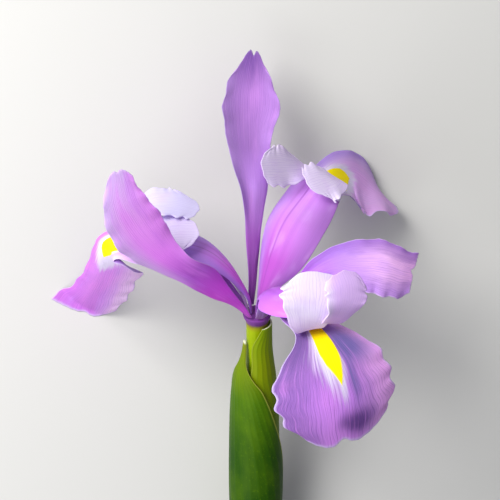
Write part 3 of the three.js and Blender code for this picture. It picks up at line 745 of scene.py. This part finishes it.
standards = {
    "standard_back": {
        "azimuth": 120,
        "spine": [(3.4, 0, 0.45), (4.2, -0.6, 4.6), (6, -1.8, 10), (8, -3, 15), (14, -6.8, 26.4),
                  (21.9, -10.5, 36.8), (30.2, -15.3, 46.6), (34.9, -18.6, 50.9), (41.2, -22.9, 54.7)],
        "width": [[(0, 0.85), (0.12, 1.9), (0.22, 2.8), (0.3, 3), (0.45, 5.2), (0.6, 5.9), (0.68, 6.6),
                   (0.76, 8.7), (0.88, 7), (1, 3)],
                  standardFoot + [(0.3, 2.4), (0.45, 4.6), (0.6, 7), (0.75, 8.8), (0.88, 7), (1, 3)]],
        "curl": [[(0, 16), (0.2, -30), (0.38, -30), (0.6, 20), (1, 10)],
                 [(0, 16), (0.2, 25), (0.6, 20), (1, 10)]],
        "roll": flatRoll,
        "bow": (5, 5),
        "notch": 2,
        "wave": standardWave,
        "paint": {
            # the dark violet at the tip, in the last stop and the top patch, is painted shade where the tip
            # bends away from the light
            "stops": [(0.0, "#8c4c94"), (0.06, "#8d4097"), (0.25, "#a95ebd"), (0.45, "#d29ff3"),
                      (0.6, "#a87cc4"), (0.8, "#c18bdd"), (1.0, "#7f599d")],
            "sides": ("#be8fde", "#a183c0"), "warm": "#e29ff3", "cool": "#b082d0", "vein": "#8f5ab5",
            "margin": "#b3a7ce",
            "paintedShade": [(0.15, 1.0, 0.9, 0.15, "#7754a0")],
        },
    },
    "standard_right": {
        "azimuth": 3,
        "spine": [(3.4, 0, 0.45), (6.5, 0, 4.5), (11.5, 0, 9.4), (17, 0, 13.6), (23.5, 0, 16.1),
                  (30.2, 0, 16.6), (35.1, -0.2, 15.9), (39, 0.1, 14), (42.6, 0.7, 11.7)],
        "width": [standardFoot + [(0.3, 3), (0.5, 6.6), (0.65, 8.8), (0.8, 9.9), (0.92, 9), (1, 6.4)],
                  standardFoot + [(0.3, 2.6), (0.5, 5), (0.65, 5.8), (0.8, 5.8), (0.9, 4.9), (1, 5.4)]],
        "curl": [[(0, 16), (0.2, 20), (0.6, 12), (1, 0)]] * 2,
        "roll": [(0, 0), (0.2, 0), (0.5, 40), (1, 42)],
        "bow": (0, 0),
        "notch": 1,
        "wave": {**standardWave, "phase": 2.2},
        "paint": {
            "stops": [(0.0, "#9a4ca4"), (0.06, "#9840ba"), (0.3, "#ac58d2"), (0.55, "#c494f2"),
                      (0.8, "#ffcbff"), (1.0, "#ffc2ff")],
            "sides": ("#b68ae0", "#8e60be"), "warm": "#cc97f5", "cool": "#845cb5", "vein": "#7a44b0",
            "margin": "#ecd6fa",
        },
    },
    "standard_left": {
        "azimuth": -125,
        "spine": [(3.4, 0, 0.45), (6, -1.4, 5.3), (10.6, -3.4, 11.3), (15.8, -6.1, 17.7),
                  (21.3, -9.2, 24.1), (26.4, -12.8, 31.4), (30.8, -16.1, 39.2), (33.6, -18.6, 48.2),
                  (33, -21, 57.6)],
        "width": [[(0, 0.85), (0.12, 1.8), (0.2, 3.1), (0.3, 3.6), (0.4, 4.3), (0.5, 6.7), (0.6, 8),
                   (0.7, 8.2), (0.85, 6.5), (0.95, 4.4), (1, 3.4)],
                  [(0, 0.85), (0.12, 1.4), (0.2, 2.5), (0.3, 4.3), (0.38, 4.2), (0.5, 4.2), (0.6, 5.5),
                   (0.72, 7.4), (0.9, 6), (1, 4.1)]],
        "curl": [[(0, 16), (0.2, 25), (0.6, 20), (1, 10)]] * 2,
        "roll": [(0, 0), (0.1, 45), (0.25, 62), (0.5, 52), (1, 55)],
        "bow": (3, 3),
        "notch": 0.6,
        "wave": {**standardWave, "phase": 3.6},
        "outward": True,  # the photo shows its outer face
        "paint": {
            "stops": [(0.0, "#a044a6"), (0.06, "#ca46cf"), (0.2, "#da4bdf"), (0.38, "#b155cc"),
                      (0.55, "#f28cfd"), (0.75, "#f1a3fa"), (1.0, "#d3bcea")],
            "sides": ("#d3c1ec", "#f197fd"), "warm": "#f290fd", "cool": "#d57ef4", "vein": "#b452d4",
            "margin": "#e9d2f8",
        },
    },
}

standardOuter = outerFinish("standardOuterFace", "#b06cc8", "#cf94ea", "#8a55b4")
for node, form in standards.items():
    faces = [standardFinish(node + "Face", form["paint"]), standardOuter]
    if form.get("outward"):
        faces.reverse()
    petalPiece(node.replace("_", "") + "Petal", node, form, faces)
print("standards made")

# style arms, each with two crest lobes that stand on its end
styleSpine = [(1.3, 0, 0.5), (2.2, 0, 5.2), (4.4, 0, 9.8), (7.2, 0, 14.3), (11, 0, 18.5), (14.5, 0, 20.8),
              (18, 0, 21.9), (25, 0, 23), (30, 0, 23.9), (34, 0, 24.4)]
lowSpine = [(1.3, 0, 0.5), (2.3, 0, 4.9), (4.6, 0, 9.2), (7.7, 0, 13.1), (11.5, 0, 16.3), (15, 0, 18.2),
            (18.4, 0, 19.8), (25, 0, 21.9), (30, 0, 22.8), (34, 0, 21)]
styleWidth = [(0, 1.15), (0.15, 1.6), (0.3, 3.2), (0.5, 5.2), (0.75, 6.2), (1, 6)]
broadStyle = [(0, 1.15), (0.15, 2.6), (0.3, 5.8), (0.5, 8.2), (0.75, 8.8), (1, 7.6)]
widestStyle = [(0, 1.15), (0.1, 2.6), (0.2, 5.7), (0.3, 8.8), (0.45, 10.8), (0.6, 11.2), (0.75, 10.5), (1, 8)]
hangingStyle = [(0, 1.15), (0.15, 2.2), (0.3, 4), (0.4, 5.4), (0.5, 8), (0.6, 8.8), (0.75, 8), (0.9, 5.6),
                (1, 4)]
narrowStyle = [(0, 1.15), (0.15, 1.4), (0.3, 2.4), (0.5, 3.4), (0.75, 5), (1, 6)]

crest = {
    "width": [(0, 3), (0.3, 4.8), (0.65, 6.6), (1, 5.8)],
    "curl": [[(0, -10), (1, 12)]] * 2,
    "wave": {"height": 0.5, "count": 2.5, "scallop": 0.09, "lobes": 5},
    "teeth": 0.5,
    "frill": 0.3,
    "root": 9,  # how far the arm runs on into a lobe
    "blend": 0.4,  # share of a lobe over which it leaves the arm
    "armRows": 40,
    "rows": 44,
    "columns": 18,  # across one lobe
}
stillWave = {"height": 0, "count": 1, "phase": 0, "scallop": 0, "lobes": 1}

styles = {
    "style_front": {
        "azimuth": -65,
        "spine": lowSpine,
        "sag": 0,  # how much lower the arm's end is
        "hang": -50,  # how far its sides curl down near its foot
        "droop": -60,  # and at its end
        "width": [hangingStyle, narrowStyle],
        "lobes": [
            {"spine": [(34, -3, 19.4), (36.8, -3.3, 19.8), (37.2, -2.4, 24), (34.8, -0.7, 29.2),
                       (30.4, 1.4, 34)],
             "roll": 0, "bow": (4, 1), "broad": (1.3, 1.2), "teeth": 0.15},
            {"spine": [(34, 3, 19.8), (37.4, 4.6, 21.4), (39, 6.6, 26.2), (38, 7.8, 31), (35.4, 7, 35.8)],
             "roll": 0, "bow": (1, 5), "broad": (0.9, 0.9)},
        ],
        "paint": {
            "foot": "#ab4aca", "arm": "#c971ef", "low": "#f2ccff", "crest": "#f3eafd", "fold": "#e2b8f8",
            "sides": ("#cd79f0", "#b560de"),
        },
    },
    "style_left": {
        "azimuth": 180,
        "spine": styleSpine,
        "sag": -1,
        "hang": -30,
        "droop": -24,
        "width": [broadStyle, styleWidth],
        "lobes": [
            {"spine": [(34, -3, 24), (35, -4.6, 26.9), (29.3, -6.7, 31.3), (22.7, -7.1, 32),
                       (15, -6.9, 29.9)],
             "roll": 0, "bow": (6, 3), "broad": (1, 1)},
            {"spine": [(34, 3, 24), (34.2, 3.5, 25.9), (28.6, 3.4, 27.8), (22.5, 2.9, 28.7),
                       (15.1, 1.6, 28.4)],
             "roll": 20, "bow": (3, 6), "broad": (1, 1)},
        ],
        "paint": {
            "foot": "#ee70f2", "arm": "#cba4fa", "low": "#e6c3f7", "crest": "#dcd8f8", "fold": "#eadcfa",
            "sides": ("#c4a2f4", "#bb8aea"),
        },
    },
    "style_back": {
        "azimuth": 60,
        "spine": styleSpine,
        "sag": -0.3,
        "hang": -30,
        "droop": -24,
        "width": [widestStyle, styleWidth],
        "lobes": [
            {"spine": [(34, -3, 24), (34.9, -4.7, 25), (31.5, -5.4, 26.7), (26.8, -4.5, 28.2),
                       (21.9, -3.2, 29.4)],
             "roll": -38, "bow": (10, 2), "broad": (1, 1)},
            {"spine": [(34, 3, 24), (34.2, 3.8, 26.2), (27.8, 4.1, 30.3), (21.2, 5.6, 33.9),
                       (14.5, 7.3, 36.9)],
             "roll": -60, "bow": (2, 7), "broad": (0.9, 0.9)},
        ],
        "paint": {
            "foot": "#bb58c6", "arm": "#dc98f2", "low": "#e6ccfc", "crest": "#f2e6ff", "fold": "#f4e8ff",
            # the second side colour, a dull violet on that margin, is painted shade
            "sides": ("#a068bc", "#b488dc"),
        },
    },
}


def armForm(form):
    last = len(form["spine"]) - 1
    spine = [(out, aside, up - form["sag"] * i / last) for i, (out, aside, up) in enumerate(form["spine"])]
    curl = [(0, -40), (0.3, form["hang"]), (1, form["droop"])]
    return {"spine": spine, "width": form["width"], "curl": [curl] * 2, "roll": flatRoll, "bow": (0, 0),
            "notch": 0, "wave": stillWave}


def lobeForm(lobe, number):
    return {
        "spine": lobe["spine"],
        "width": [[(at, value * broad) for at, value in crest["width"]] for broad in lobe["broad"]],
        "curl": crest["curl"],
        "roll": [(0, 0), (0.4, 0.8 * lobe["roll"]), (1, lobe["roll"])],
        "bow": lobe["bow"],
        "notch": 0,
        "wave": {**crest["wave"], "phase": 1 + number},
        "bare": 1 - number,  # the side with no teeth, where the two lobes meet
    }


def stylePiece(name, node, form, materials):
    arm = petalSurface(armForm(form))
    forward = (arm(1, 0) - arm(0.95, 0)).normalized()
    place = petalPlace(form["azimuth"])
    mesh = bmesh.new()
    addGrid(mesh, crest["armRows"], 2 * crest["columns"], metres(arm, place), (0, 0, 1, 0.5))
    for number, lobe in enumerate(form["lobes"]):
        surface = petalSurface(lobeForm(lobe, number), crest["frill"], lobe.get("teeth", crest["teeth"]))

        def lobeAt(along, across, surface=surface, number=number):
            root = arm(1, (across + 1) / 2 - 1 + number) + forward * (crest["root"] * along)
            return root.lerp(surface(along, across), smoothStep(0, crest["blend"], along))

        addGrid(mesh, crest["rows"], crest["columns"], metres(lobeAt, place),
                (number / 2, 0.5, (number + 1) / 2, 1))
    bmesh.ops.remove_doubles(mesh, verts=mesh.verts, dist=1e-6)
    piece = finishPiece(name, mesh, materials)
    thicken(piece, petal["thickness"], petal["margin"])
    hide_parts(node)


for node, form in styles.items():
    stylePiece(node.replace("_", "") + "Crested", node, form, [styleFinish(node + "Face", form["paint"])])
print("style arms made")


def sweptPiece(name, node, grid, ringAt, materials):
    # a closed solid: ringAt(along) gives a centre, two directions across and radius(angle) as a pair
    rings, sides = grid
    capInset = 0.12  # keeps the rim of each end crisp
    mesh = bmesh.new()
    places = {}

    def at(along, across):
        key = round(along * rings)
        if key not in places:
            places[key] = ringAt(key / rings)
        centre, right, up, radius = places[key]
        angle = math.pi * (across + 1)
        wide, high = radius(angle)
        return (centre + right * (wide * math.cos(angle)) + up * (high * math.sin(angle))) * mm

    addGrid(mesh, rings, sides, at)
    bmesh.ops.remove_doubles(mesh, verts=mesh.verts, dist=1e-7)
    rims = [edge for edge in mesh.edges if edge.is_boundary]
    caps = bmesh.ops.holes_fill(mesh, edges=rims, sides=0)["faces"]
    bmesh.ops.inset_region(mesh, faces=caps, thickness=capInset * mm, depth=0.0)
    for face in caps:
        face.material_index = len(materials) - 1
    bmesh.ops.recalc_face_normals(mesh, faces=mesh.faces)
    piece = finishPiece(name, mesh, materials)
    roundOff(piece)
    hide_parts(node)


# stamens, hidden under the style arms: a filament that widens into an anther
stamen = {
    "width": track([(0, 0.42), (0.35, 0.42), (0.45, 1), (0.6, 1.3), (0.9, 1.1), (1, 0.4)]),
    "height": track([(0, 0.42), (0.35, 0.42), (0.45, 0.5), (0.6, 0.55), (0.9, 0.5), (1, 0.3)]),
    "grid": (60, 20),  # rings and sides
}
stamenSpine = [(2.35, 0, 0.45), (3.6, 0, 5), (6.1, 0, 10), (10.1, 0, 14.5), (15, 0, 17.8), (20, 0, 19.5),
               (25, 0, 20.4), (29, 0, 21.1)]
lowStamenSpine = [(2.35, 0, 0.45), (3.7, 0, 4.6), (6.4, 0, 9.1), (10.4, 0, 13.1), (15, 0, 16.3),
                  (20, 0, 18.2), (25, 0, 19.4), (29, 0, 20.2)]
stamens = {
    "stamen_front": {"azimuth": -65, "spine": lowStamenSpine},
    "stamen_left": {"azimuth": 180, "spine": stamenSpine},
    "stamen_back": {"azimuth": 60, "spine": stamenSpine},
}


def stamenRing(form):
    place = petalPlace(form["azimuth"])
    turn = place.to_3x3()
    curve = spineCurve(form["spine"])[0]

    def ringAt(along):
        centre, tangent = curve(along)
        right = Vector((0, 1, 0))
        wide, high = stamen["width"](along), stamen["height"](along)

        def radius(angle):  # two pollen sacs with a groove between them
            groove = 1 - 0.3 * math.exp(-(math.cos(angle) / 0.3) ** 2) * smoothStep(0.4, 0.5, along)
            return wide, high * groove

        return place @ centre, turn @ right, turn @ tangent.cross(right), radius

    return ringAt


stamenFace = stamenFinish()
for node, form in stamens.items():
    name = node.replace("_", "") + "Anther"
    sweptPiece(name, node, stamen["grid"], stamenRing(form), [stamenFace])
print("stamens made")

# the stalk bends from the flower's axis down to the floor; distances are from the petals' foot
stalk = {
    "ovary": 27,  # where the ovary ends and the pedicel begins
    "spathe": 80,  # where the spathe grips the stem
    "end": 108,
    "radius": 3.9,
    "pedicel": 2.5,
    "gap": 0.3,  # between the ovary and the pedicel
    "sides": 14,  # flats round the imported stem, which this one stays inside
    "footSlope": math.radians(10),  # of the stem where it meets the floor
    "footAside": 5.6,  # the foot's place to the right of the petals' foot
    "footReach": 0.965,  # how far down the floor it lies, as a share of the length
    "leaving": 30,  # how far the stalk keeps straight below the petals
    "landing": 40,  # and before its foot
    "ovaryGrid": (60, 48),  # rings and sides
    "stemGrid": (60, 40),
}
stemFacet = math.cos(math.pi / stalk["sides"])
base = flower["base"]
down = (bloomPlace.to_3x3() @ Vector((0, 0, -1))).normalized()
stalkFoot = Vector((base.x + stalk["footAside"], base.y - stalk["end"] * stalk["footReach"],
                    stalk["radius"] * stemFacet * math.cos(stalk["footSlope"])))
beforeFoot = stalkFoot + Vector((-1, stalk["landing"], stalk["landing"] * math.tan(stalk["footSlope"])))
stalkCurve, stalkLength = bezierCurve(base, base + down * stalk["leaving"], beforeFoot, stalkFoot)


def stalkPlace(distance):
    share = clamp(distance / stalkLength)
    centre, tangent = stalkCurve(share)
    right = (Vector((1, 0, 0)) - tangent * tangent.x).normalized()
    return centre + tangent * (distance - share * stalkLength), right, tangent.cross(right)


def stalkRing(start, end, shape):
    def ringAt(along):
        distance = start + (end - start) * along
        return *stalkPlace(distance), lambda angle: shape(distance, angle)

    return ringAt


ovaryRadius = track([(0, 3.9), (1, 3.7), (2.5, 3.05), (6, 3), (15, 3), (22, 3), (27, 2.5)])
stemRadius = track([(27, stalk["pedicel"]), (60, stalk["pedicel"]), (72, 3.4), (80, stalk["radius"]),
                    (stalk["end"], stalk["radius"])])


def ovaryShape(distance, angle):  # three-sided, with a groove down each side
    lobes = 1 + 0.05 * math.cos(3 * angle) * min(1, distance / 8)
    groove = 0.03 * math.exp(-(math.sin(1.5 * angle) / 0.25) ** 2) * smoothStep(3, 9, distance)
    return (ovaryRadius(distance) * (lobes - groove),) * 2


def stemShape(distance, angle):  # round, with nine faint ridges
    radius = stemRadius(distance)
    ridge = 0.012 * math.sin(9 * angle)
    return radius * (stemFacet + ridge), radius * stemFacet


ovaryRing = stalkRing(0.1, stalk["ovary"], ovaryShape)
stemRing = stalkRing(stalk["ovary"] + stalk["gap"], stalk["end"], stemShape)
sweptPiece("ovaryBody", "ovary", stalk["ovaryGrid"], ovaryRing, [ovaryFinish()])
sweptPiece("stemBody", "stem", stalk["stemGrid"], stemRing, [stemFinish(), cutFinish()])
print("ovary and stem made")

# spathe valves, by the distance from the petals' foot: radius, the way they face and their reach
# to each side of it, in degrees round the stalk
valves = {
    "spathe_outer": {
        "top": 8,
        "radius": [(8, 3.7), (12, 4.3), (15, 5.2), (18, 6.05), (21, 6.5), (30, 7.1), (45, 7.35), (57, 7.2),
                   (70, 6.45), (80, 6.15)],
        "facing": [(8, 165), (15, 157), (22, 150), (32, 141), (50, 130), (80, 122)],
        "reach": [(8, 9), (12, 14), (15, 20), (19, 43), (22, 60), (32, 81), (50, 115), (80, 120)],
        "material": "spatheOuter",
        "paint": {
            "stops": [(0.0, "#878a0e"), (0.2, "#6a7f01"), (0.36, "#406500"), (0.6, "#1f4600"),
                      (1.0, "#1a3e00")],
            "tipLength": 0.05,
            "marginShare": 0.8,
        },
    },
    "spathe_inner": {
        "top": 3,
        "radius": [(3, 3.85), (8, 3.9), (12, 4.05), (20, 5), (30, 5.8), (45, 6.05), (57, 5.9), (70, 5.1),
                   (80, 4.8)],
        "facing": [(3, 20), (15, 15), (30, -10), (50, -40), (80, -50)],
        "reach": [(3, 62), (5, 78), (9, 104), (15, 107), (20, 116), (80, 120)],
        "material": "spatheInner",
        "paint": {
            "stops": [(0.0, "#7b9501"), (0.3, "#798801"), (0.5, "#617800"), (0.75, "#294b00"),
                      (1.0, "#203f00")],
            "tipLength": 0.004,
            "marginShare": 0.3,
        },
    },
}
valveBlade = {
    "thickness": 0.55,
    "margin": 0.5,  # share of the thickness left at the margin
    "rows": 72,
    "columns": 64,
    "crowding": 1.4,  # above 1, the rows are closer together towards the tip
    "ribs": 13,
    "rib": 0.02,
}


def valvePiece(name, node, valve):
    radius, facing, reach = [track(valve[key]) for key in ("radius", "facing", "reach")]
    places = {}

    def at(along, across):
        distance = valve["top"] + (stalk["spathe"] - valve["top"]) * along ** valveBlade["crowding"]
        if distance not in places:
            places[distance] = stalkPlace(distance)
        centre, right, up = places[distance]
        angle = math.radians(facing(distance) + reach(distance) * across)
        out = right * math.cos(angle) + up * math.sin(angle)
        rib = valveBlade["rib"] * math.sin(valveBlade["ribs"] * math.pi * across) * smoothStep(0, 0.2, along)
        return (centre + out * (radius(distance) + rib)) * mm

    mesh = bmesh.new()
    addGrid(mesh, valveBlade["rows"], valveBlade["columns"], at)
    piece = finishPiece(name, mesh, [spatheFinish(valve["material"], valve["paint"])])
    thicken(piece, valveBlade["thickness"], valveBlade["margin"])
    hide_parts(node)


for node, valve in valves.items():
    valvePiece(node.replace("_", "") + "Valve", node, valve)
print("spathe made")

studio = {
    "elevation": 36,  # how far the photo looks down on the flower, over the floor
    "distance": 900,
    "lens": 239.8,
    "sensor": 36,
    "aside": 1.892,  # the view's middle, to the left of the petals' foot
    "above": 17.03,  # and above it
    "floor": "#cbcbc8",
    "floorSize": 3,  # metres from its middle to each side
    "aim": 15,  # what the lights face, above the petals' foot
    "sky": (0.93, 0.95, 1, 1),
    "skyStrength": 0.33,
    "lights": {  # places are to the right, up and towards the camera, and sizes are metres
        "keyLight": {"place": (-250, 210, 440), "size": 0.3, "watts": 4.2, "tint": (1, 0.985, 0.96)},
        "fillLight": {"place": (-330, -260, 380), "size": 0.4, "watts": 1.7, "tint": (0.97, 0.97, 1)},
    },
}
roll, pitch = math.radians(flower["roll"]), math.radians(studio["elevation"] - flower["rise"])
viewRight = Vector((math.cos(roll), 0, math.sin(roll)))
viewUp = Vector((math.sin(pitch) * math.sin(roll), math.cos(pitch), -math.sin(pitch) * math.cos(roll)))
viewBack = Vector((-math.cos(pitch) * math.sin(roll), math.sin(pitch), math.cos(pitch) * math.cos(roll)))


def makeFloor():
    mesh = bmesh.new()
    bmesh.ops.create_grid(mesh, x_segments=1, y_segments=1, size=studio["floorSize"])
    data = bpy.data.meshes.new("floor")
    mesh.to_mesh(data)
    mesh.free()
    floor = bpy.data.objects.new("floor", data)
    bpy.context.scene.collection.objects.link(floor)
    data.materials.append(Finish("floorPaper").close((*colour(studio["floor"]), 1), 0.85, None))


def makeLight(name, light):
    data = bpy.data.lights.new(name, "AREA")
    data.size, data.energy, data.color = light["size"], light["watts"], light["tint"]
    right, up, back = light["place"]
    place = viewRight * right + viewUp * up + viewBack * back
    lamp = bpy.data.objects.new(name, data)
    lamp.location = (base + viewUp * studio["aim"] + place) * mm
    lamp.rotation_mode = "QUATERNION"
    lamp.rotation_quaternion = (-place).to_track_quat("-Z", "Y")
    bpy.context.scene.collection.objects.link(lamp)


def makeSky():
    world = bpy.data.worlds.new("studio")
    world.use_nodes = True
    background = world.node_tree.nodes["Background"]
    background.inputs["Color"].default_value = studio["sky"]
    background.inputs["Strength"].default_value = studio["skyStrength"]
    bpy.context.scene.world = world


def makeCamera():
    data = bpy.data.cameras.new("camera")
    data.lens, data.sensor_width = studio["lens"], studio["sensor"]
    camera = bpy.data.objects.new("camera", data)
    place = base - viewRight * studio["aside"] + viewUp * studio["above"] + viewBack * studio["distance"]
    turn = Matrix((viewRight, viewUp, viewBack)).transposed().to_4x4()
    camera.matrix_world = Matrix.Translation(place * mm) @ turn
    bpy.context.scene.collection.objects.link(camera)
    bpy.context.scene.camera = camera


makeFloor()
for name, light in studio["lights"].items():
    makeLight(name, light)
makeSky()
makeCamera()
bpy.context.scene.view_settings.view_transform = "Standard"
print("studio made")
